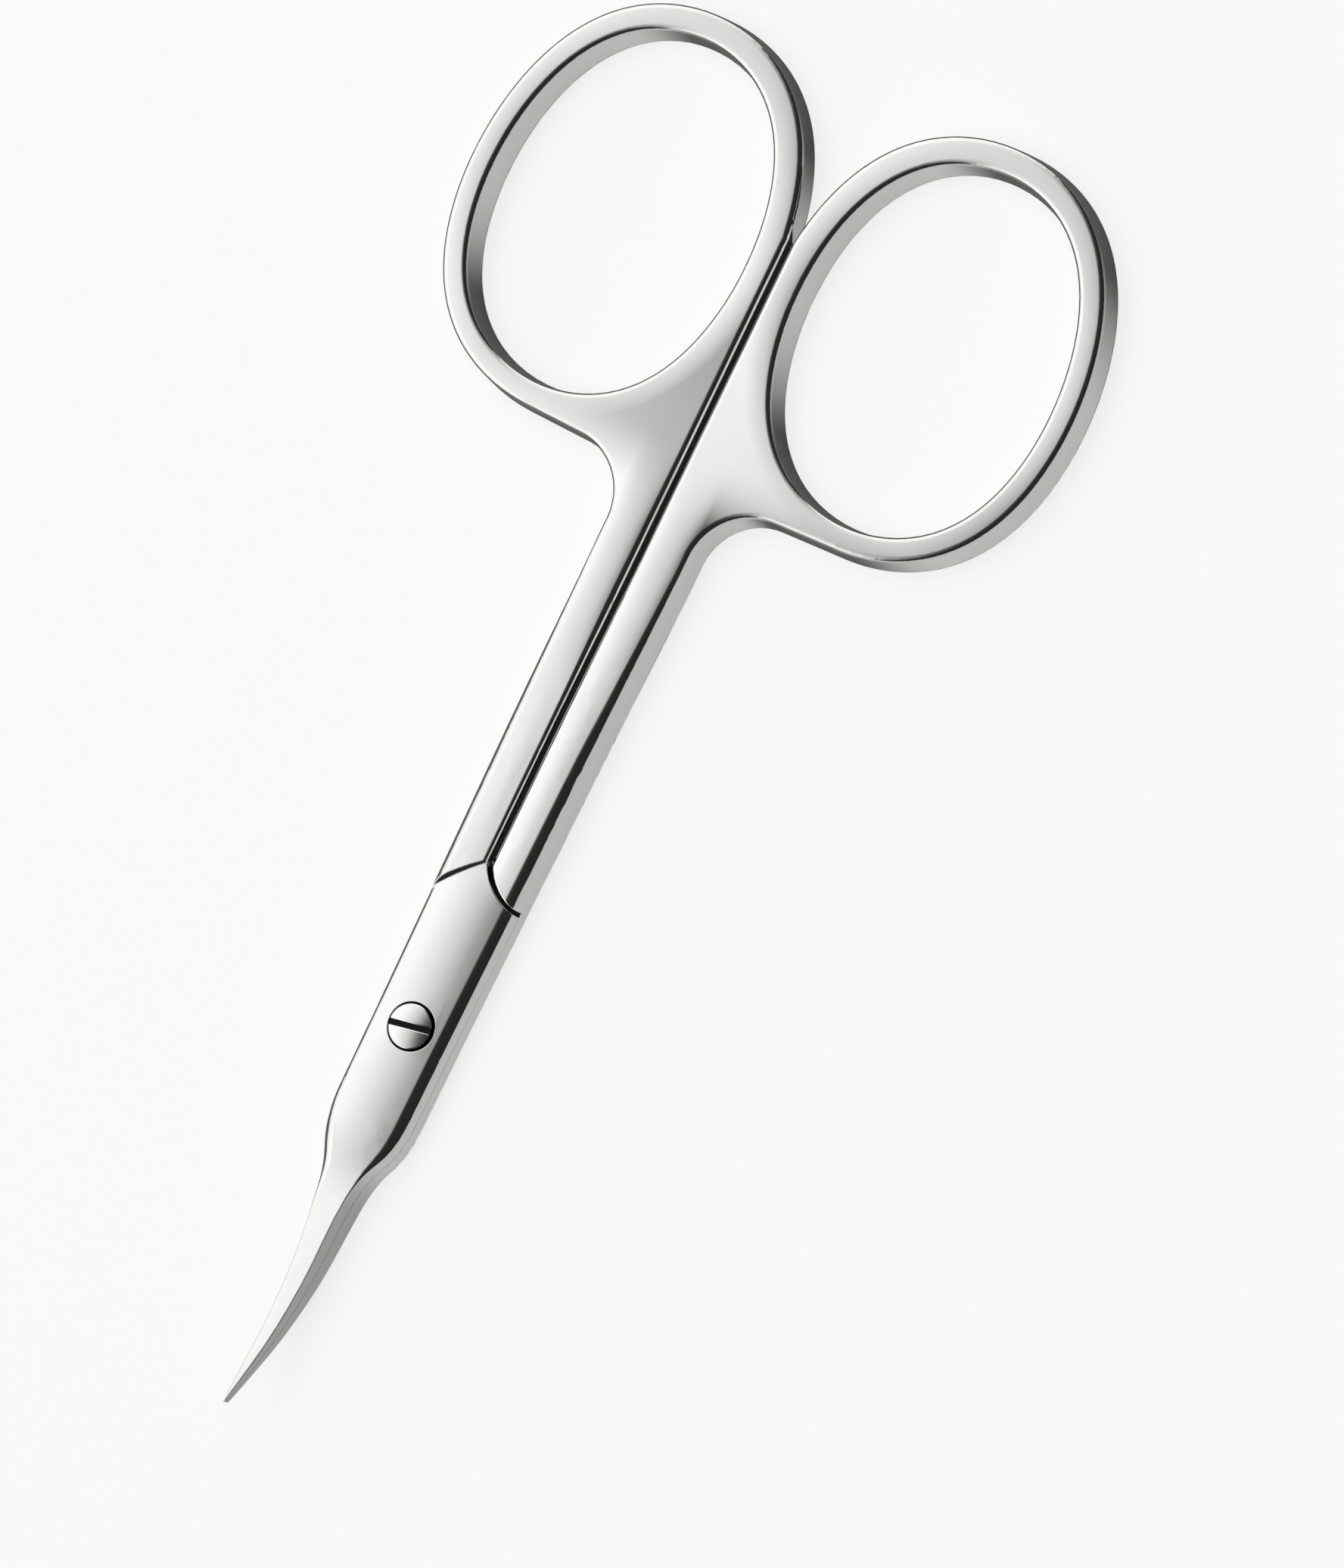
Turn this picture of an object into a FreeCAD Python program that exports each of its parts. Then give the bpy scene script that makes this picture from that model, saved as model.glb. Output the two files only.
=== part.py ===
import FreeCAD, Part
import math
import os

Vector = FreeCAD.Vector

# Cuticle scissors, closed, lying on their back. Lengths in millimetres, angles in degrees.
# While drawing, the pivot is at x = y = 0, +Y runs to the rings, +Z faces the front.

# overall
PIVOT_TO_TIP = 26.4
JOINT_THICK = 3.1
RING_THICK = 2.9
OVERRUN = 20.0
JOIN_TOLERANCE = 0.005

# finger rings
RING_WIDE = 22.38
RING_TALL = 28.14
RING_MIDDLE_Y = 52.58
RING_LEAN = 1.9
RING_FLAT = 0.16
RING_POINTS = 24
BISECTIONS = 40
RING_BAR_SIDE = 2.2
RING_BAR_END = 2.15
HOLE_OFFSET_X = 0.045
HOLE_OFFSET_Y = -0.08
RING_ROUND = 0.35
HOLE_ROUND = 0.35

# shanks
SLIT = 0.42
CROTCH_RADIUS = 4.0
SHANK_TOP_Y = 33.0
SHANK_TOP_HALF = 3.34
SHANK_FULL_Y = 19.0
SHANK_LOW_Y = 5.0
SHANK_OUTER_ROUND = 0.8
SHANK_INNER_ROUND = 0.25
RIGHT_CROWN = 5.0
RIGHT_CREST_X = 1.65
LEFT_CROWN = 9.3
LEFT_CREST_X = 1.0
WALL_LEAN = 5.0
SHANK_STATIONS = 9
FLAT_CROWN = 300.0
BACK_ROUND = 0.6

# lap joint
JOINT_HALF = 2.9
LAP_GAP = 0.04
APEX_Y = 11.65
SHOULDER_MIDDLE_X = 1.05
SHOULDER_MIDDLE_Y = 10.0
SHOULDER_END_Y = 9.15
SHOULDER_GAP = 0.36
STEP_END_Y = 9.35
STEP_DEEP = 0.15
STEP_RUN = 0.15
PLATE_ROUND = 0.95
PLATE_CROWN = 11.0
BLADE_CROWN = 60.0

# blades
BLADE_BEND_Y = 13.0
BLADE_BEND_RADIUS = 34.5
BLADE_ROOT_Y = 12.5
TIP_HALF_THICK = 0.3
BLADE_STATIONS = 49

# pivot screw
JOURNAL = 2.0
JOURNAL_PLAY = 0.03
THREAD = 1.9
THREAD_PLAY = 0.01
HEAD = 2.9
HEAD_RECESS = 3.15
HEAD_RECESS_DEEP = 0.35
HEAD_PLAY = 0.02
HEAD_WALL = 0.5
HEAD_DOME = 0.25
SLOT_WIDE = 0.4
SLOT_DEEP = 0.42
SLOT_ANGLE = 11.0
END_SHY = 0.05
END_CHAMFER = 0.12

# How much fuller than an ellipse the rings are at their corners, and how much wider towards the shank.
fullness_share = 0.014
egg_share = 0.018

# Rows from the joint to the tip: share of pivot-to-tip, then left edge, right edge as shares of the joint's
# half width, then left and right front roundings as shares of the plate's rounding.
blade_shares = (
    (-0.45, 1.055, 1.055, 0.55, 1.0),
    (0.0, 1.0, 1.005, 0.55, 1.0),
    (0.14, 0.99, 0.995, 0.55, 1.0),
    (0.22, 0.985, 0.985, 0.6, 0.97),
    (0.285, 0.91, 0.92, 0.8, 0.82),
    (0.33, 0.78, 0.775, 0.95, 0.56),
    (0.37, 0.605, 0.615, 0.85, 0.28),
    (0.41, 0.445, 0.515, 0.5, 0.10),
    (0.455, 0.335, 0.46, 0.2, 0.05),
    (0.53, 0.217, 0.43, 0.05, 0.04),
    (0.63, 0.113, 0.42, 0.04, 0.04),
    (0.73, 0.05, 0.38, 0.04, 0.04),
    (0.82, 0.014, 0.315, 0.04, 0.04),
    (0.91, -0.005, 0.213, 0.04, 0.04),
    (1.0, -0.06, 0.105, 0.012, 0.012),
)

# Where the front begins to flatten and where it is flat, and where the ground step begins to run out.
flatten_share = 0.24
flat_share = 0.455
step_out_share = 0.235

# How the blades thin: below 1 mostly near the root, above 1 mostly near the tip.
thinning_power = 1.3

# derived
slit_half = SLIT / 2
lap_half = LAP_GAP / 2
wall_lean = math.radians(WALL_LEAN)
lap_z = JOINT_THICK / 2
ring_half = RING_WIDE / 2
hole_wide = RING_WIDE - 2 * RING_BAR_SIDE
hole_tall = RING_TALL - 2 * RING_BAR_END
ring_x = slit_half + ring_half - RING_FLAT
ring_lean = math.radians(RING_LEAN)
ring_inset = RING_THICK * math.tan(wall_lean)
ring_top_y = RING_MIDDLE_Y + RING_TALL / 2
frame_shift = (PIVOT_TO_TIP - ring_top_y) / 2
crotch_x = SHANK_TOP_HALF + CROTCH_RADIUS
plate_top = JOINT_THICK - STEP_DEEP
seat_z = plate_top - HEAD_RECESS_DEEP


def flip(shape):
    """The same shape on the other side of the long axis."""
    return shape.mirror(Vector(), Vector(1, 0, 0))


def ease(share):
    """Runs from 0 to 1 with level ends."""
    part = min(max(share, 0), 1)
    return part * part * (3 - 2 * part)


def oval_point(center, wide, tall, turn):
    """Point on a slightly squared, egg-shaped oval that leans towards the long axis."""
    across = (1 + fullness_share) * math.cos(turn) - fullness_share * math.cos(3 * turn)
    along = (1 + fullness_share) * math.sin(turn) + fullness_share * math.sin(3 * turn)
    x = wide / 2 * across * (1 - egg_share * math.sin(turn))
    y = tall / 2 * along
    lean_x = x * math.cos(ring_lean) - y * math.sin(ring_lean)
    lean_y = x * math.sin(ring_lean) + y * math.cos(ring_lean)
    return center + Vector(lean_x, lean_y, 0)


def oval(center, wide, tall):
    """The closed oval, clockwise from its side at the slit."""
    points = []
    for index in range(RING_POINTS):
        points.append(oval_point(center, wide, tall, math.pi - 2 * math.pi * index / RING_POINTS))
    curve = Part.BSplineCurve()
    curve.interpolate(points, PeriodicFlag=True)
    return curve


def slit_crossing(center, wide, tall):
    """Upper point where the right ring's outside meets the slit."""
    low = math.pi / 2
    high = math.pi
    for _ in range(BISECTIONS):
        turn = (low + high) / 2
        if oval_point(center, wide, tall, turn).x > slit_half:
            low = turn
        else:
            high = turn
    return oval_point(center, wide, tall, high)


def ring_outline(inset, z):
    """Outside of the right ring, its web and the top of its shank, drawn in by the inset away from the slit."""
    center = Vector(ring_x - inset / 2, RING_MIDDLE_Y, z)
    wide = RING_WIDE - inset
    tall = RING_TALL - 2 * inset
    radius = CROTCH_RADIUS + inset
    rim = oval(center, wide, tall)
    slit_high = rim.value(rim.parameter(slit_crossing(center, wide, tall)))
    slit_low = Vector(slit_high.x, SHANK_TOP_Y, z)
    lowest = rim.value(rim.parameter(oval_point(center, wide, tall, -math.pi / 2)))
    down = Vector(math.sin(ring_lean), -math.cos(ring_lean), 0)
    drop = (crotch_x - lowest.x) * math.sin(ring_lean) - radius
    crotch = Vector(crotch_x, lowest.y + drop / math.cos(ring_lean), z)
    under = crotch - down * radius
    side = crotch - Vector(radius, 0, 0)
    bend = crotch + (under - crotch + side - crotch).normalize() * radius
    side_low = Vector(side.x, SHANK_TOP_Y, z)
    edges = [
        Part.makeLine(slit_low, slit_high),
        rim.toShape(rim.parameter(slit_high), rim.parameter(lowest)),
        Part.makeLine(lowest, under),
        Part.Arc(under, bend, side).toShape(),
        Part.makeLine(side, side_low),
        Part.makeLine(side_low, slit_low),
    ]
    return Part.Wire(edges)


def hole_outline(inset, z):
    """Edge of the finger hole, opened out by the inset."""
    center = Vector(ring_x + HOLE_OFFSET_X, RING_MIDDLE_Y + HOLE_OFFSET_Y, z)
    return Part.Wire(oval(center, hole_wide + 2 * inset, hole_tall + 2 * inset).toShape())


def rounded_rims(shape, test, radius):
    """Rounds the level edges of the ring that pass the test."""
    edges = []
    for edge in shape.Edges:
        if edge.BoundBox.ZLength < radius and test(edge):
            edges.append(edge)
    return shape.makeFillet(radius, edges)


def right_ring():
    """Ring, web and top of the right shank, all one thickness, with leaning walls."""
    blank = Part.makeLoft([ring_outline(0, 0), ring_outline(ring_inset, RING_THICK)], True, True)
    rim = rounded_rims(blank, lambda edge: edge.BoundBox.YMax > SHANK_TOP_Y + RING_ROUND, RING_ROUND)
    hole = Part.makeLoft([hole_outline(0, 0), hole_outline(ring_inset, RING_THICK)], True, True)
    return rounded_rims(rim.cut(hole), lambda edge: edge.isClosed(), HOLE_ROUND)


def top_corner(foot, lean, radius, side, crest, top, crown):
    """Start, middle and end of the rounding between a side wall through foot and the crowned front."""
    out = Vector(side * math.cos(lean), 0, math.sin(lean))
    climb = Vector(-side * math.sin(lean), 0, math.cos(lean))
    axis = Vector(crest, 0, top - crown)
    reach = foot - out * radius - axis
    slant = reach.dot(climb)
    rise = math.sqrt(slant ** 2 - reach.dot(reach) + (crown - radius) ** 2) - slant
    center = axis + reach + climb * rise
    front = (center - axis).normalize()
    between = (out + front).normalize()
    return center + out * radius, center + between * radius, center + front * radius


def section(y, left, right, low, top, low_round, left_round, right_round, crown, crest, lean):
    """Closed outline across the part at y, crowned on the front and rounded at its corners."""
    heel_l = Vector(left, 0, low + low_round)
    heel_r = Vector(right - low_round * math.tan(lean), 0, low + low_round)
    wall_r, bend_r, front_r = top_corner(heel_r, lean, right_round, 1, crest, top, crown)
    wall_l, bend_l, front_l = top_corner(heel_l, 0, left_round, -1, crest, top, crown)
    edges = [
        Part.makeLine(heel_r, wall_r),
        Part.Arc(wall_r, bend_r, front_r).toShape(),
        Part.Arc(front_r, Vector(crest, 0, top), front_l).toShape(),
        Part.Arc(front_l, bend_l, wall_l).toShape(),
        Part.makeLine(wall_l, heel_l),
    ]
    if low_round > 0:
        reach = low_round * (1 - math.sqrt(0.5))
        foot_l = Vector(left + low_round, 0, low)
        foot_r = Vector(right - low_round, 0, low)
        edges.append(Part.Arc(heel_l, Vector(left + reach, 0, low + reach), foot_l).toShape())
        edges.append(Part.makeLine(foot_l, foot_r))
        edges.append(Part.Arc(foot_r, Vector(right - reach, 0, low + reach), heel_r).toShape())
    else:
        edges.append(Part.makeLine(heel_l, heel_r))
    wire = Part.Wire(edges)
    wire.translate(Vector(0, y, 0))
    return wire


def shank_half(y):
    """Distance from the long axis to the outer wall of a shank or of the joint."""
    return JOINT_HALF + (SHANK_TOP_HALF - JOINT_HALF) * y / SHANK_TOP_Y


def shank(crown, crest, lean):
    """Full-thickness bar on the right, from below the ring to the joint."""
    wires = []
    for index in range(SHANK_STATIONS):
        y = SHANK_TOP_Y + (SHANK_LOW_Y - SHANK_TOP_Y) * index / (SHANK_STATIONS - 1)
        share = ease((SHANK_TOP_Y - y) / (SHANK_TOP_Y - SHANK_FULL_Y))
        top = RING_THICK + (JOINT_THICK - RING_THICK) * share
        outer = RING_ROUND + (SHANK_OUTER_ROUND - RING_ROUND) * share
        inner = RING_ROUND + (SHANK_INNER_ROUND - RING_ROUND) * share
        back = RING_ROUND + (BACK_ROUND - RING_ROUND) * share
        bend = 1 / FLAT_CROWN + (1 / crown - 1 / FLAT_CROWN) * share
        wires.append(section(y, slit_half, shank_half(y), 0, top, back, inner, outer,
                             1 / bend, crest, wall_lean + (lean - wall_lean) * share))
    return Part.makeLoft(wires, True, False)


def lap_height(y):
    """Height of the surface on which the two halves meet; it bends forward along the blades."""
    past = -y - BLADE_BEND_Y
    if past <= 0:
        return lap_z
    return lap_z + BLADE_BEND_RADIUS - math.sqrt(BLADE_BEND_RADIUS ** 2 - past ** 2)


def half_thick(y):
    """Thickness of one half in the joint and along its blade."""
    past = max((-y - BLADE_ROOT_Y) / (PIVOT_TO_TIP - BLADE_ROOT_Y), 0)
    return lap_z + (TIP_HALF_THICK - lap_z) * past ** thinning_power


def blade_slope(row, column):
    """Slope of a column of the blade table at a row, level where the column turns."""
    sides = []
    for first in (max(row - 1, 0), min(row, len(blade_shares) - 2)):
        low = blade_shares[first]
        high = blade_shares[first + 1]
        sides.append((high[column] - low[column]) / (high[0] - low[0]))
    if sides[0] * sides[1] <= 0:
        return 0
    return 2 * sides[0] * sides[1] / (sides[0] + sides[1])


def blade_row(along):
    """Edges and roundings at a share of the way to the tip, joined smoothly and without overshoot."""
    row = 0
    while row < len(blade_shares) - 2 and blade_shares[row + 1][0] < along:
        row += 1
    low = blade_shares[row]
    high = blade_shares[row + 1]
    span = high[0] - low[0]
    part = (along - low[0]) / span
    values = []
    for column in range(1, len(low)):
        rise = high[column] - low[column]
        start = blade_slope(row, column) * span
        end = blade_slope(row + 1, column) * span
        curve = 3 * rise - 2 * start - end + part * (start + end - 2 * rise)
        values.append(low[column] + part * (start + part * curve))
    return values


def blade_stations():
    """Evenly spaced shares of the way from the joint to the tip."""
    first = blade_shares[0][0]
    shares = []
    for index in range(BLADE_STATIONS):
        shares.append(first + (1 - first) * index / (BLADE_STATIONS - 1))
    return shares


def front_plate():
    """Front half of the joint with its blade."""
    wires = []
    for along in blade_stations():
        left, right, left_round, right_round = blade_row(along)
        y = -along * PIVOT_TO_TIP
        ground = STEP_DEEP * (1 - ease((along - step_out_share) / (1 - step_out_share)))
        low = lap_height(y) + lap_half
        top = lap_height(y) + half_thick(y) - ground
        flat = ease((along - flatten_share) / (flat_share - flatten_share))
        bend = 1 / PLATE_CROWN + (1 / BLADE_CROWN - 1 / PLATE_CROWN) * flat
        lapped = right * JOINT_HALF - (low - lap_height(y) + half_thick(y)) * math.tan(wall_lean)
        middle = (lapped - left * JOINT_HALF) / 2 * flat
        wires.append(section(y, -left * JOINT_HALF, lapped, low, top, 0, left_round * PLATE_ROUND,
                             right_round * PLATE_ROUND, 1 / bend, middle, wall_lean))
    return Part.makeLoft(wires, True, False)


def back_section(y, left, right, low, top, left_round, right_round):
    """Closed outline across the back half at y: level inside, rounded at the back corners."""
    foot_l = Vector(left + left_round, 0, low)
    foot_r = Vector(right - right_round, 0, low)
    heel_l = Vector(left, 0, low + left_round)
    heel_r = Vector(right - right_round * math.tan(wall_lean), 0, low + right_round)
    share = 1 - math.sqrt(0.5)
    bend_l = Vector(left + left_round * share, 0, low + left_round * share)
    bend_r = Vector(right - right_round * share, 0, low + right_round * share)
    top_l = Vector(left, 0, top)
    top_r = Vector(right - (top - low) * math.tan(wall_lean), 0, top)
    edges = [
        Part.Arc(foot_r, bend_r, heel_r).toShape(),
        Part.makeLine(heel_r, top_r),
        Part.makeLine(top_r, top_l),
        Part.makeLine(top_l, heel_l),
        Part.Arc(heel_l, bend_l, foot_l).toShape(),
        Part.makeLine(foot_l, foot_r),
    ]
    wire = Part.Wire(edges)
    wire.translate(Vector(0, y, 0))
    return wire


def back_plate():
    """Back half of the joint with its blade."""
    wires = []
    for along in blade_stations():
        left, right, left_round, right_round = blade_row(along)
        y = -along * PIVOT_TO_TIP
        top = lap_height(y) - lap_half
        low = lap_height(y) - half_thick(y)
        wires.append(back_section(y, -left * JOINT_HALF, right * JOINT_HALF, low, top,
                                  left_round * BACK_ROUND, right_round * BACK_ROUND))
    return Part.makeLoft(wires, True, False)


def shoulder_region(above, gap, low, high):
    """Block over one side of the curved shoulder line on the right, shifted by the gap, from low to high."""
    shift = Vector(JOINT_HALF, APEX_Y - SHOULDER_END_Y, 0).normalize() * gap
    shift = Vector(shift.y, shift.x, 0)
    start = Vector(-slit_half, APEX_Y, low) + shift
    middle = Vector(SHOULDER_MIDDLE_X, SHOULDER_MIDDLE_Y, low) + shift
    end = Vector(JOINT_HALF, SHOULDER_END_Y, low) + shift
    out = Vector(JOINT_HALF + OVERRUN, end.y, low)
    if above:
        corners = [Vector(out.x, APEX_Y + OVERRUN, low), Vector(start.x, APEX_Y + OVERRUN, low)]
    else:
        corners = [Vector(out.x, -OVERRUN, low), Vector(-OVERRUN, -OVERRUN, low)]
        corners.append(Vector(-OVERRUN, start.y, low))
    edges = [Part.Arc(start, middle, end).toShape()]
    path = [end, out] + corners + [start]
    for first, second in zip(path[:-1], path[1:]):
        edges.append(Part.makeLine(first, second))
    return Part.Face(Part.Wire(edges)).extrude(Vector(0, 0, high - low))


def half_space(point, normal):
    """Large block on the far side of a plane."""
    block = Part.makeBox(2 * OVERRUN, 2 * OVERRUN, 2 * OVERRUN, Vector(-OVERRUN, -OVERRUN, 0))
    block.Placement = FreeCAD.Placement(point, FreeCAD.Rotation(Vector(0, 0, 1), normal))
    return block


def step_plane():
    """Point and normal of the sloping step between the left shank and the front plate."""
    start = Vector(-slit_half, APEX_Y, JOINT_THICK)
    run = Vector(slit_half - JOINT_HALF, STEP_END_Y - APEX_Y, 0).normalize()
    toward = Vector(-run.y, run.x, 0)
    return start, (toward * STEP_DEEP + Vector(0, 0, STEP_RUN)).normalize()


def front_half():
    """Left ring and shank with the front plate and blade."""
    point, normal = step_plane()
    bar = flip(shank(LEFT_CROWN, LEFT_CREST_X, 0))
    bar = bar.cut(half_space(point, normal))
    bar = bar.cut(flip(shoulder_region(False, SHOULDER_GAP, -OVERRUN, lap_z + lap_half)))
    plate = front_plate()
    plate = plate.cut(shoulder_region(True, 0, -OVERRUN, OVERRUN))
    behind = half_space(point, -normal)
    upper = Part.makeBox(2 * OVERRUN, 2 * OVERRUN, OVERRUN, Vector(-OVERRUN, 0, plate_top - 2 * STEP_DEEP))
    plate = plate.cut(behind.common(upper))
    hole = Part.makeCylinder(JOURNAL / 2 + JOURNAL_PLAY, JOINT_THICK)
    recess = Part.makeCylinder(HEAD_RECESS / 2, JOINT_THICK, Vector(0, 0, seat_z))
    plate = plate.cut(hole).cut(recess)
    return flip(right_ring()).fuse((bar, plate), JOIN_TOLERANCE)


def back_half():
    """Right ring and shank with the back plate and blade."""
    bar = shank(RIGHT_CROWN, RIGHT_CREST_X, wall_lean)
    bar = bar.cut(shoulder_region(False, SHOULDER_GAP, lap_z - lap_half, OVERRUN))
    plate = back_plate()
    plate = plate.cut(flip(shoulder_region(True, 0, -OVERRUN, OVERRUN)))
    plate = plate.cut(Part.makeCylinder(THREAD / 2 + THREAD_PLAY, JOINT_THICK))
    return right_ring().fuse((bar, plate), JOIN_TOLERANCE)


def pivot_screw():
    """Slotted screw: domed head, journal for the front half, threaded end in the back half."""
    under_head = seat_z + HEAD_PLAY
    rim_z = under_head + HEAD_WALL
    crown_z = rim_z + HEAD_DOME
    journal_z = lap_z - lap_half
    outline = [
        Vector(0, 0, END_SHY),
        Vector(THREAD / 2 - END_CHAMFER, 0, END_SHY),
        Vector(THREAD / 2, 0, END_SHY + END_CHAMFER),
        Vector(THREAD / 2, 0, journal_z),
        Vector(JOURNAL / 2, 0, journal_z),
        Vector(JOURNAL / 2, 0, under_head),
        Vector(HEAD / 2, 0, under_head),
        Vector(HEAD / 2, 0, rim_z),
    ]
    edges = []
    for first, second in zip(outline[:-1], outline[1:]):
        edges.append(Part.makeLine(first, second))
    dome = (HEAD ** 2 / 4 + HEAD_DOME ** 2) / (2 * HEAD_DOME)
    quarter = HEAD / 4
    dome_z = crown_z - dome + math.sqrt(dome ** 2 - quarter ** 2)
    crest = Vector(0, 0, crown_z)
    edges.append(Part.Arc(outline[-1], Vector(quarter, 0, dome_z), crest).toShape())
    edges.append(Part.makeLine(crest, outline[0]))
    screw = Part.Face(Part.Wire(edges)).revolve(Vector(), Vector(0, 0, 1), 360)
    slot = Part.makeBox(2 * HEAD, SLOT_WIDE, JOINT_THICK, Vector(-HEAD, -SLOT_WIDE / 2, crown_z - SLOT_DEEP))
    slot.rotate(Vector(), Vector(0, 0, 1), SLOT_ANGLE)
    return screw.cut(slot)


def main():
    """Builds each piece, moves it into the shared frame and writes it."""
    os.makedirs("parts", exist_ok=True)
    pieces = {
        "front_half": front_half(),
        "back_half": back_half(),
        "pivot_screw": pivot_screw(),
    }
    for name, piece in pieces.items():
        shape = piece.removeSplitter().Solids[0]
        shape.translate(Vector(0, frame_shift, 0))
        print(name, len(piece.Solids), shape.isValid(), shape.Volume)
        shape.exportStep("parts/" + name + ".step")


main()
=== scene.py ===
import math

import bpy
from mathutils import Matrix, Vector

# Looks of the cuticle scissors: polished steel in a white studio. Lengths in metres, angles in degrees.
# A tilt is how far a shaded face leans, as a slope. A turn is where a look starts and where it is full,
# by one coordinate of the surface's direction: Z is 1 on a level front and 0 on an upright wall.

# camera
IMAGE_WIDE = 1776
IMAGE_TALL = 2072
PIVOT_PIXEL_X = 541.5
PIVOT_PIXEL_Y = 1356.0
PIXELS_PER_METRE = 20870.0
PIVOT = Vector((0.0, -0.020125, 0.0031))
CAMERA_DISTANCE = 0.500
CAMERA_SIDE = 19.0
CAMERA_PITCH = 0.48
CAMERA_ROLL = 25.748
SENSOR = 0.036
MILLIMETRES = 1000
CLIP_SHARE = 0.01

# floor: its shaded tone, its glow for the camera, and the glow that the steel mirrors, which is dimmed by
# the cosine of the angle between a ray's heading and DIM_TOWARD
FLOOR_SIZE = 4.0
FLOOR_DROP = 0.00005
FLOOR_SHADED = 0.2
FLOOR_GLOW = 0.765
MIRRORED_GLOW = 0.71
MIRRORED_DIM = 0.0
DIM_TOWARD = 145.0
DIM_NONE = -0.75
DIM_FULL = 0.2

# light
STUDIO_LIGHT = 2.0
STUDIO_FILL = 0.6
LAMP_SIZE = 0.9
LAMP_HEIGHT = 0.8
LAMP_ASIDE = -0.1
LAMP_WATTS = 6.4

# studio round the scissors: angle from straight up, positive to the right, and the 8-bit grey seen there
STUDIO = (
    (-180, 200),
    (-90, 200),
    (-70, 240),
    (-50, 253),
    (-38, 246),
    (-26, 226),
    (-16, 204),
    (-8, 175),
    (-2, 142),
    (5, 95),
    (14, 50),
    (25, 38),
    (90, 35),
    (120, 150),
    (180, 200),
)
HALF_CIRCLE = 180

# curve between an 8-bit grey and the light it stands for
GREY_WHITE = 255
CURVE_KNEE = 0.04045
CURVE_SLOPE = 12.92
CURVE_OFFSET = 0.055
CURVE_POWER = 2.4

# steel
STEEL = (0.52, 0.52, 0.515)
CLOUD_TONE_SHARE = 0.97
CLOUDS = {"Scale": 90.0, "Detail": 3.0, "Roughness": 0.55}
SMUDGES = {"Scale": 240.0, "Detail": 4.0, "Roughness": 0.6}
HALF_ROUGHNESS = (0.03, 0.07)
SCREW_ROUGHNESS = (0.04, 0.09)

# hair lines of the polish
LINES = {"Scale": 8.0, "Detail": 3.0, "Roughness": 0.6}
LINE_STRETCH = (900.0, 60.0, 900.0)
LINE_STRENGTH = 0.15
LINE_DEPTH = 0.000002

# broken edges of the front
EDGE_RADIUS = 0.00016
EDGE_SAMPLES = 8
EDGE_TURN = (0.4, 0.6)

# blades: the lean of the ground face, and painted shade that darkens their side walls
BLADE_START_Y = -0.0285
BLADE_FULL_Y = -0.0325
FACE_TILT = 0.13
WALL_TURN = (0.6, 0.4)
WALL_SHADE_SHARE = 0.6

# crowned front of shanks and rings
CROWN_TURN = (0.93, 0.985)
SHANK_MIDDLE_X = 0.00165
SHANK_HALF = 0.0015
SHANK_START_Y = 0.001
SHANK_FULL_Y = 0.010
SHANK_TILT = 0.16
RING_MIDDLE_X = 0.01115
RING_MIDDLE_Y = 0.0324
RING_HALF_X = 0.01106
RING_HALF_Y = 0.0138
RING_START_Y = 0.014
RING_FULL_Y = 0.021
RING_TILT = 0.13
BAR_MIDDLE_SHARE = 0.925
BAR_HALF_SHARE = 0.075

# painted shade in the screw's seat and slot and in the corner of the lap joint at the shoulder
PAINTED_SHADE_TONE = 0.008
SEAT_RADIUS = 0.00162
SEAT_FADE_SHARE = 0.98
SEAT_TOP_Z = 0.0032
SLOT_TOP_Z = 0.00302
LAP_TOP_Z = 0.0016
LAP_TURN = (0.9, 0.95)
CORNER_Y = -0.0113
SHADE_FADE_SHARE = 0.99

# bevel of the left shank along the slit, from the shoulder's corner up
BEVEL_REACH = 0.0008
BEVEL_TOP_Y = 0.0365
BEVEL_FADE_SHARE = 0.9
BEVEL_TOP_FADE_SHARE = 0.96
BEVEL_TILT = 20.0
BEVEL_LOW_TURN = (0.05, 0.15)
BEVEL_HIGH_TURN = (0.6, 0.5)
BEVEL_RIGHT_TURN = (0.3, 0.5)

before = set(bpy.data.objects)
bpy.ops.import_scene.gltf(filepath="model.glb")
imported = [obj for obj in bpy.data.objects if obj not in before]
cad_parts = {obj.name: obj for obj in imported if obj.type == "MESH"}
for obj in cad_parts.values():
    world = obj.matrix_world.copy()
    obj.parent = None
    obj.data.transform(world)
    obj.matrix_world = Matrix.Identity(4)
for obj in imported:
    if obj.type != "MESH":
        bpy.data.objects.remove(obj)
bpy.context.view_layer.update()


def linear(grey):
    """Scene value that shows as this 8-bit grey."""
    shown = grey / GREY_WHITE
    if shown <= CURVE_KNEE:
        return shown / CURVE_SLOPE
    return ((shown + CURVE_OFFSET) / (1 + CURVE_OFFSET)) ** CURVE_POWER


def grey_colour(value):
    """Colour with the same value in red, green and blue."""
    return (value, value, value, 1.0)


def steel_colour(share):
    """Colour of the steel at a share of its brightness."""
    return (*[share * part for part in STEEL], 1.0)


def feed(tree, socket, value):
    """Links an output to an input socket, or sets the input to a plain value."""
    if isinstance(value, bpy.types.NodeSocket):
        tree.links.new(value, socket)
    else:
        socket.default_value = value


def fill(tree, target, **values):
    """Feeds the named inputs of a shader node."""
    for name, value in values.items():
        feed(tree, target.inputs[name.replace("_", " ")], value)


def node(tree, kind, **values):
    """New shader node with its named inputs fed."""
    made = tree.nodes.new(kind)
    fill(tree, made, **values)
    return made


def operation_node(tree, kind, operation, values):
    """New node that works out a result, with its inputs fed in their order."""
    made = tree.nodes.new(kind)
    made.operation = operation
    for socket, value in zip(made.inputs, values):
        feed(tree, socket, value)
    return made


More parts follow.
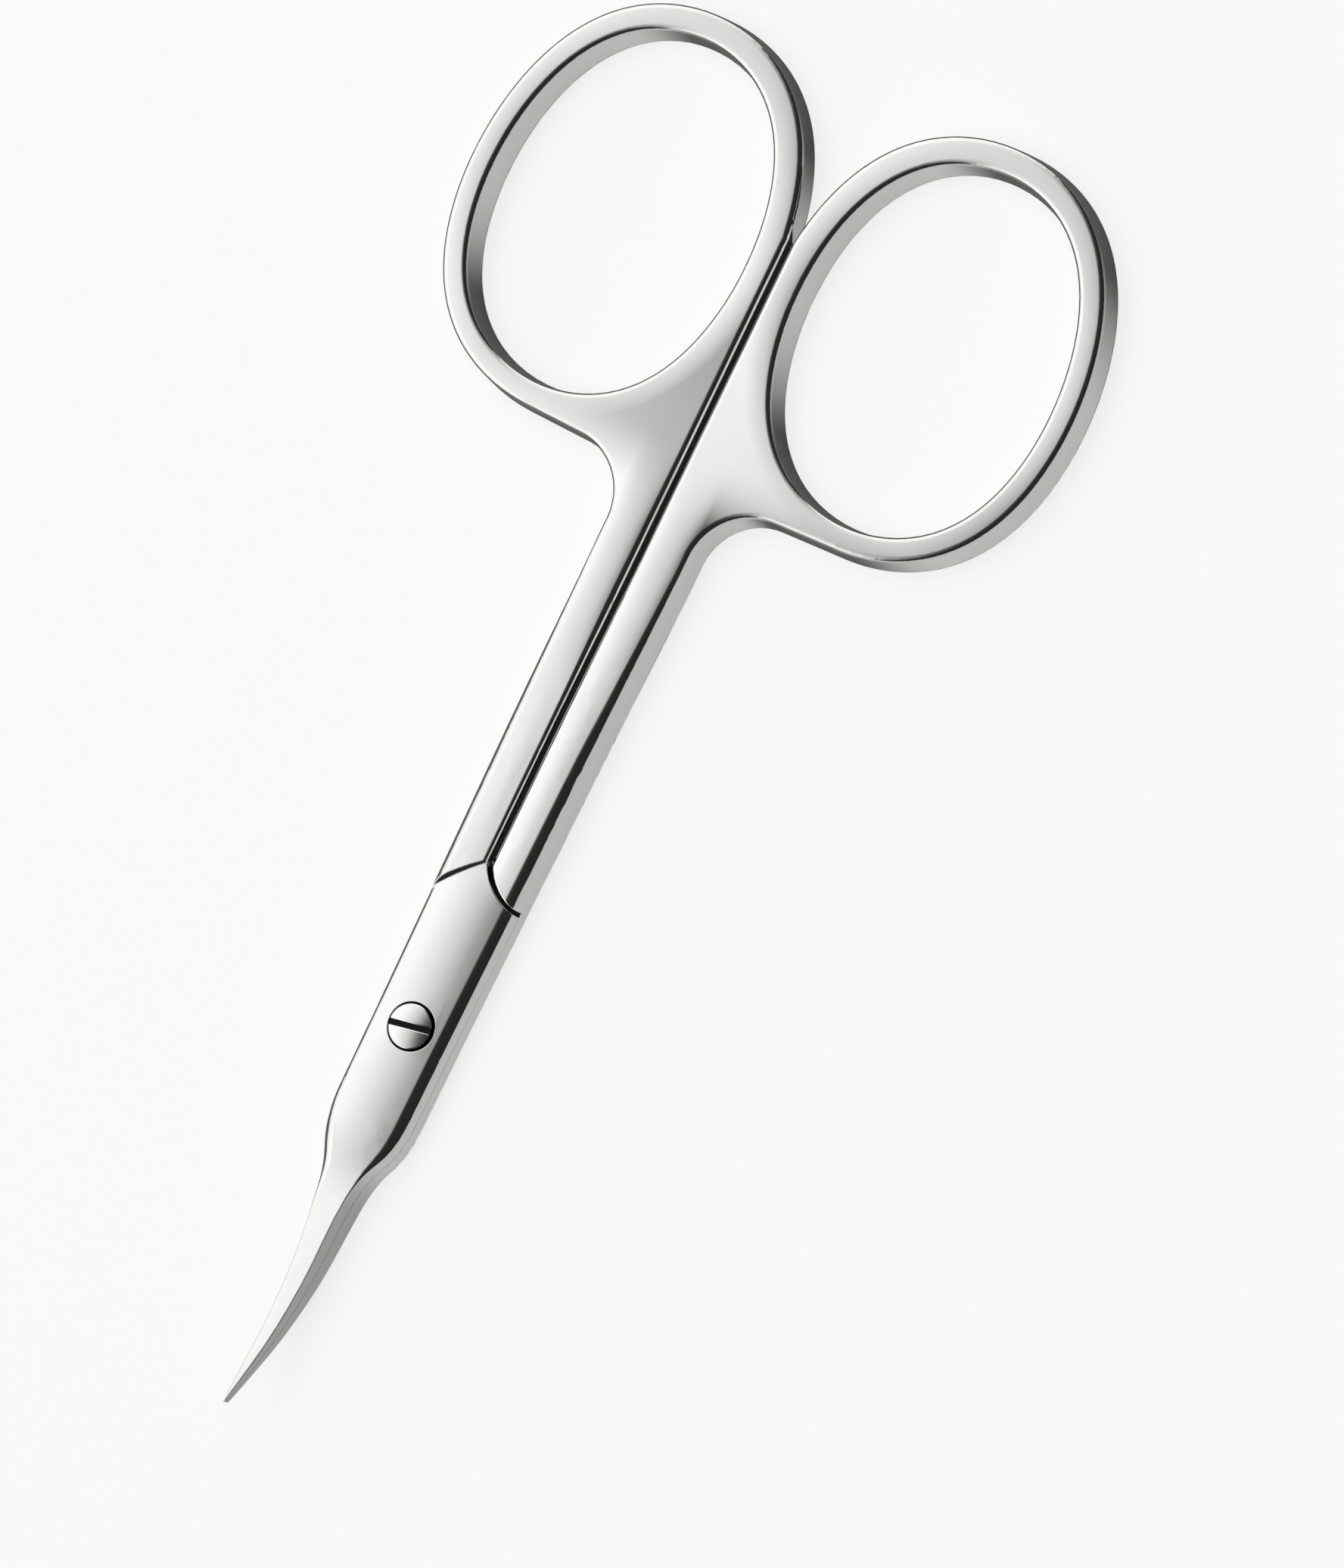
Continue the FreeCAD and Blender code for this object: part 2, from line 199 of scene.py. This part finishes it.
def math_value(tree, operation, *values):
    """Number worked out from numbers."""
    return operation_node(tree, "ShaderNodeMath", operation, values).outputs["Value"]


def new_vector(tree, operation, *values):
    """Vector worked out from vectors; a number stands for the same number on each axis."""
    return operation_node(tree, "ShaderNodeVectorMath", operation, values).outputs["Vector"]


def vector_value(tree, operation, *values):
    """Number worked out from vectors."""
    return operation_node(tree, "ShaderNodeVectorMath", operation, values).outputs["Value"]


def product(tree, first, *others):
    """Product of numbers."""
    total = first
    for other in others:
        total = math_value(tree, "MULTIPLY", total, other)
    return total


def axis_value(tree, source, axis):
    """One coordinate of a vector."""
    return node(tree, "ShaderNodeSeparateXYZ", Vector=source).outputs[axis]


def noise(tree, coordinates, values):
    """Noise from 0 to 1 on the given coordinates."""
    return node(tree, "ShaderNodeTexNoise", Vector=coordinates, **values).outputs["Fac"]


def mix(tree, kind, share, first, second):
    """Mix of two numbers, vectors or colours by a share."""
    made = tree.nodes.new("ShaderNodeMix")
    made.data_type = kind
    fill(tree, made, Factor=share, A=first, B=second)
    return made.outputs["Result"]


def smooth_step(tree, source, low, high):
    """0 below low, 1 above high, smooth between; runs the other way if high is the lower."""
    made = node(tree, "ShaderNodeMapRange", Value=source, From_Min=low, From_Max=high)
    made.interpolation_type = "SMOOTHSTEP"
    return made.outputs["Result"]


def within(tree, source, edge, fade_share):
    """0 at an edge and beyond it, 1 from a share of it inwards to zero."""
    return smooth_step(tree, source, edge, fade_share * edge)


def plain_direction(tree):
    """Surface direction as the solid has it."""
    return tree.nodes.new("ShaderNodeNewGeometry").outputs["Normal"]


def offset_share(tree, source, middle, half):
    """Distance from a middle as a share of the half width."""
    return math_value(tree, "DIVIDE", math_value(tree, "SUBTRACT", source, middle), half)


def across_bar(tree, source, middle, half):
    """From -1 at one edge of a bar to 1 at its other edge."""
    share = offset_share(tree, source, middle, half)
    return math_value(tree, "MINIMUM", math_value(tree, "MAXIMUM", share, -1.0), 1.0)


def steepened(tree, share):
    """Lean of a crown at a share of the way to the bar's edge: twice as steep at the edge."""
    square = product(tree, share, share)
    return product(tree, share, math_value(tree, "ADD", square, 1.0))


def crown_tilt(tree, place):
    """How far the crowned front of shanks and rings leans to each side: x and y."""
    x = axis_value(tree, place, "X")
    y = axis_value(tree, place, "Y")
    side = math_value(tree, "SIGN", x)
    apart = math_value(tree, "ABSOLUTE", x)
    on_ring = smooth_step(tree, y, RING_START_Y, RING_FULL_Y)
    past_joint = smooth_step(tree, y, SHANK_START_Y, SHANK_FULL_Y)
    on_shank = math_value(tree, "SUBTRACT", past_joint, on_ring)
    across_shank = steepened(tree, across_bar(tree, apart, SHANK_MIDDLE_X, SHANK_HALF))
    shank = product(tree, across_shank, SHANK_TILT, on_shank)
    reach_x = offset_share(tree, apart, RING_MIDDLE_X, RING_HALF_X)
    reach_y = offset_share(tree, y, RING_MIDDLE_Y, RING_HALF_Y)
    squares = math_value(tree, "ADD", product(tree, reach_x, reach_x), product(tree, reach_y, reach_y))
    reach = math_value(tree, "SQRT", squares)
    across_ring = across_bar(tree, reach, BAR_MIDDLE_SHARE, BAR_HALF_SHARE)
    outward = math_value(tree, "DIVIDE", product(tree, across_ring, RING_TILT), reach)
    ring = product(tree, outward, on_ring)
    tilt_x = math_value(tree, "ADD", shank, product(tree, ring, reach_x))
    return product(tree, tilt_x, side), product(tree, ring, reach_y)


def blade_share(tree, place):
    """0 behind the blades, 1 on them."""
    return smooth_step(tree, axis_value(tree, place, "Y"), BLADE_START_Y, BLADE_FULL_Y)


def wall_shade_share(tree, place):
    """1 on the side walls of the blades, else 0."""
    upright = smooth_step(tree, axis_value(tree, plain_direction(tree), "Z"), *WALL_TURN)
    return product(tree, upright, blade_share(tree, place))


def bevel_share(tree, place, facing):
    """1 on the polished bevel of the left shank along the slit, else 0."""
    x = axis_value(tree, place, "X")
    y = axis_value(tree, place, "Y")
    lean = axis_value(tree, facing, "Z")
    return product(
        tree,
        smooth_step(tree, lean, *BEVEL_LOW_TURN),
        smooth_step(tree, lean, *BEVEL_HIGH_TURN),
        smooth_step(tree, axis_value(tree, facing, "X"), *BEVEL_RIGHT_TURN),
        within(tree, x, -BEVEL_REACH, BEVEL_FADE_SHARE),
        math_value(tree, "LESS_THAN", x, 0.0),
        within(tree, y, CORNER_Y, BEVEL_FADE_SHARE),
        within(tree, y, BEVEL_TOP_Y, BEVEL_TOP_FADE_SHARE),
    )


def corner_share(tree, place):
    """1 in the corner of the lap joint at the shoulder, else 0."""
    low = within(tree, axis_value(tree, place, "Z"), LAP_TOP_Z, SHADE_FADE_SHARE)
    near = within(tree, axis_value(tree, place, "Y"), CORNER_Y, SHADE_FADE_SHARE)
    level = smooth_step(tree, axis_value(tree, plain_direction(tree), "Z"), *LAP_TURN)
    return product(tree, low, near, level)


def recess_share(tree, place, top_z):
    """1 below top_z and close to the pivot, else 0."""
    flat = new_vector(tree, "MULTIPLY", new_vector(tree, "SUBTRACT", place, PIVOT), (1.0, 1.0, 0.0))
    near = within(tree, vector_value(tree, "LENGTH", flat), SEAT_RADIUS, SEAT_FADE_SHARE)
    low = within(tree, axis_value(tree, place, "Z"), top_z, SHADE_FADE_SHARE)
    return product(tree, near, low)


def seat_share(tree, place):
    """1 in the recess that holds the screw's head and on its rim, else 0."""
    return recess_share(tree, place, SEAT_TOP_Z)


def slot_share(tree, place):
    """1 in the slot of the screw and below, else 0."""
    return recess_share(tree, place, SLOT_TOP_Z)


def broken_edges(tree):
    """Surface direction with rounded edges on the front and plain walls."""
    plain = plain_direction(tree)
    edges = node(tree, "ShaderNodeBevel", Radius=EDGE_RADIUS)
    edges.samples = EDGE_SAMPLES
    on_front = smooth_step(tree, axis_value(tree, plain, "Z"), *EDGE_TURN)
    return mix(tree, "VECTOR", on_front, plain, edges.outputs["Normal"])


def front_tilt(tree, place):
    """Lean of the front, which turns with its piece: crowned shanks and rings and the ground blade face."""
    crown_x, crown_y = crown_tilt(tree, place)
    face = product(tree, blade_share(tree, place), FACE_TILT)
    tilt = node(tree, "ShaderNodeCombineXYZ", X=math_value(tree, "SUBTRACT", crown_x, face), Y=crown_y)
    turned = node(tree, "ShaderNodeVectorTransform", Vector=tilt.outputs["Vector"])
    turned.vector_type = "VECTOR"
    turned.convert_from = "OBJECT"
    turned.convert_to = "WORLD"
    return turned.outputs["Vector"]


def surface_direction(tree, place):
    """Surface direction with broken edges, the lean of the front and the bevel along the slit."""
    facing = broken_edges(tree)
    on_front = smooth_step(tree, axis_value(tree, facing, "Z"), *CROWN_TURN)
    lean = new_vector(tree, "MULTIPLY", front_tilt(tree, place), on_front)
    leaning = new_vector(tree, "ADD", facing, lean)
    raised = product(tree, bevel_share(tree, place, facing), BEVEL_TILT)
    upward = node(tree, "ShaderNodeCombineXYZ", Z=raised)
    return new_vector(tree, "NORMALIZE", new_vector(tree, "ADD", leaning, upward.outputs["Vector"]))


def steel_tone(tree, place, shade_share):
    """Faintly clouded steel, with painted shade that darkens the walls of the blades and turns the masked
    recesses near black.
    """
    clouds = noise(tree, place, CLOUDS)
    tone = mix(tree, "RGBA", clouds, steel_colour(CLOUD_TONE_SHARE), steel_colour(1.0))
    # painted shade: the side walls of the blades get a darker tone
    tone = mix(tree, "RGBA", wall_shade_share(tree, place), tone, steel_colour(WALL_SHADE_SHARE))
    # painted shade: the steel turns near black in the screw's seat, its slot or the lap corner
    return mix(tree, "RGBA", shade_share(tree, place), tone, grey_colour(PAINTED_SHADE_TONE))


def polished_direction(tree, place):
    """Surface direction with the hair lines that polishing leaves."""
    stretch = node(tree, "ShaderNodeMapping", Vector=place, Scale=LINE_STRETCH)
    bump = node(
        tree,
        "ShaderNodeBump",
        Strength=LINE_STRENGTH,
        Distance=LINE_DEPTH,
        Height=noise(tree, stretch.outputs["Vector"], LINES),
        Normal=surface_direction(tree, place),
    )
    return bump.outputs["Normal"]


def polished_steel(name, roughness, shade_share):
    """Mirror-polished stainless steel: clouds in tone and gloss, hair lines, and painted shade in the gaps.
    """
    material = bpy.data.materials.new(name)
    material.use_nodes = True
    tree = material.node_tree
    place = tree.nodes.new("ShaderNodeTexCoord").outputs["Object"]
    fill(
        tree,
        tree.nodes["Principled BSDF"],
        Metallic=1.0,
        Base_Color=steel_tone(tree, place, shade_share),
        Roughness=mix(tree, "FLOAT", noise(tree, place, SMUDGES), *roughness),
        Normal=polished_direction(tree, place),
    )
    return material


def dress(name, material):
    """Gives a CAD node its material."""
    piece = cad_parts[name]
    piece.data.materials.clear()
    piece.data.materials.append(material)


def add_camera():
    """Camera at the photo's angle, turned so that the scissors point to the lower left."""
    side = math.radians(CAMERA_SIDE)
    pitch = math.radians(CAMERA_PITCH)
    roll = math.radians(CAMERA_ROLL)
    back = Vector((math.sin(side) * math.cos(pitch), math.sin(pitch), math.cos(side) * math.cos(pitch)))
    along = (Vector((0, 1, 0)) - back * back.y).normalized()
    across = along.cross(back)
    right = across * math.cos(roll) + along * math.sin(roll)
    up = along * math.cos(roll) - across * math.sin(roll)
    aside = (IMAGE_WIDE / 2 - PIVOT_PIXEL_X) / PIXELS_PER_METRE
    above = (PIVOT_PIXEL_Y - IMAGE_TALL / 2) / PIXELS_PER_METRE
    data = bpy.data.cameras.new("camera")
    data.sensor_width = SENSOR * MILLIMETRES
    data.lens = PIXELS_PER_METRE * CAMERA_DISTANCE / IMAGE_TALL * SENSOR * MILLIMETRES
    data.clip_start = CLIP_SHARE * CAMERA_DISTANCE
    camera = bpy.data.objects.new("camera", data)
    camera.matrix_world = Matrix((right, up, back)).transposed().to_4x4()
    camera.location = PIVOT + back * CAMERA_DISTANCE + right * aside + up * above
    bpy.context.scene.collection.objects.link(camera)
    bpy.context.scene.camera = camera


def seen_directly(tree):
    """1 for what the camera or the steel sees, 0 for light that falls on other things."""
    path = tree.nodes.new("ShaderNodeLightPath")
    total = path.outputs["Is Camera Ray"]
    for name in ("Is Glossy Ray", "Is Transmission Ray"):
        total = math_value(tree, "MAXIMUM", total, path.outputs[name])
    return total


def mirrored_glow(tree):
    """How bright the steel mirrors the floor: dim for a ray that heads towards DIM_TOWARD."""
    incoming = tree.nodes.new("ShaderNodeNewGeometry").outputs["Incoming"]
    heading = new_vector(tree, "NORMALIZE", new_vector(tree, "MULTIPLY", incoming, (-1.0, -1.0, 0.0)))
    angle = math.radians(DIM_TOWARD)
    toward = vector_value(tree, "DOT_PRODUCT", heading, (math.cos(angle), math.sin(angle), 0.0))
    return mix(tree, "FLOAT", smooth_step(tree, toward, DIM_NONE, DIM_FULL), MIRRORED_GLOW, MIRRORED_DIM)


def floor_white():
    """Matt white that shows white to the camera, keeps a faint shadow and is mirrored in the steel."""
    material = bpy.data.materials.new("floor_white")
    material.use_nodes = True
    tree = material.node_tree
    camera = tree.nodes.new("ShaderNodeLightPath").outputs["Is Camera Ray"]
    fill(
        tree,
        tree.nodes["Principled BSDF"],
        Base_Color=grey_colour(FLOOR_SHADED),
        Roughness=1.0,
        Specular_IOR_Level=0.0,
        Emission_Color=mix(tree, "FLOAT", camera, mirrored_glow(tree), FLOOR_GLOW),
        Emission_Strength=seen_directly(tree),
    )
    return material


def add_floor():
    """Pale square floor just below the scissors."""
    half = FLOOR_SIZE / 2
    corners = []
    for x, y in ((-half, -half), (half, -half), (half, half), (-half, half)):
        corners.append((x, y, -FLOOR_DROP))
    mesh = bpy.data.meshes.new("floor")
    mesh.from_pydata(corners, [], [(0, 1, 2, 3)])
    floor = bpy.data.objects.new("floor", mesh)
    bpy.context.scene.collection.objects.link(floor)
    mesh.materials.append(floor_white())


def add_lamp():
    """Large soft lamp overhead that lights the floor and is not mirrored in the steel."""
    data = bpy.data.lights.new("soft_lamp", "AREA")
    data.shape = "SQUARE"
    data.size = LAMP_SIZE
    data.energy = LAMP_WATTS
    lamp = bpy.data.objects.new("soft_lamp", data)
    lamp.location = (LAMP_ASIDE, 0.0, LAMP_HEIGHT)
    lamp.rotation_euler = (0.0, math.atan2(LAMP_ASIDE, LAMP_HEIGHT), 0.0)
    lamp.visible_glossy = False
    bpy.context.scene.collection.objects.link(lamp)


def set_stops(stops):
    """Gives a new ramp, which has a stop at each end, the tones of the studio."""
    for degrees, _ in STUDIO[1:-1]:
        stops.new((degrees + HALF_CIRCLE) / (2 * HALF_CIRCLE))
    for stop, (_, grey) in zip(stops, STUDIO):
        stop.color = grey_colour(linear(grey))


def add_studio():
    """White studio on the left and overhead, dark on the right, as the steel reflects it."""
    world = bpy.data.worlds.new("studio")
    world.use_nodes = True
    bpy.context.scene.world = world
    tree = world.node_tree
    place = tree.nodes.new("ShaderNodeTexCoord").outputs["Generated"]
    angle = math_value(tree, "ARCTAN2", axis_value(tree, place, "X"), axis_value(tree, place, "Z"))
    share = node(tree, "ShaderNodeMapRange", Value=angle, From_Min=-math.pi, From_Max=math.pi)
    ramp = node(tree, "ShaderNodeValToRGB", Fac=share.outputs["Result"])
    set_stops(ramp.color_ramp.elements)
    level = mix(tree, "FLOAT", seen_directly(tree), STUDIO_FILL, STUDIO_LIGHT)
    fill(tree, tree.nodes["Background"], Color=ramp.outputs["Color"], Strength=level)


# each polish gets the mask where painted shade darkens it: the screw's seat, the lap corner or the screw's
# slot
front_polish = polished_steel("front_polish", HALF_ROUGHNESS, seat_share)
back_polish = polished_steel("back_polish", HALF_ROUGHNESS, corner_share)
screw_polish = polished_steel("screw_polish", SCREW_ROUGHNESS, slot_share)
dress("front_half", front_polish)
dress("back_half", back_polish)
dress("pivot_screw", screw_polish)

add_camera()
add_floor()
add_lamp()
add_studio()
bpy.context.scene.view_settings.view_transform = "Standard"
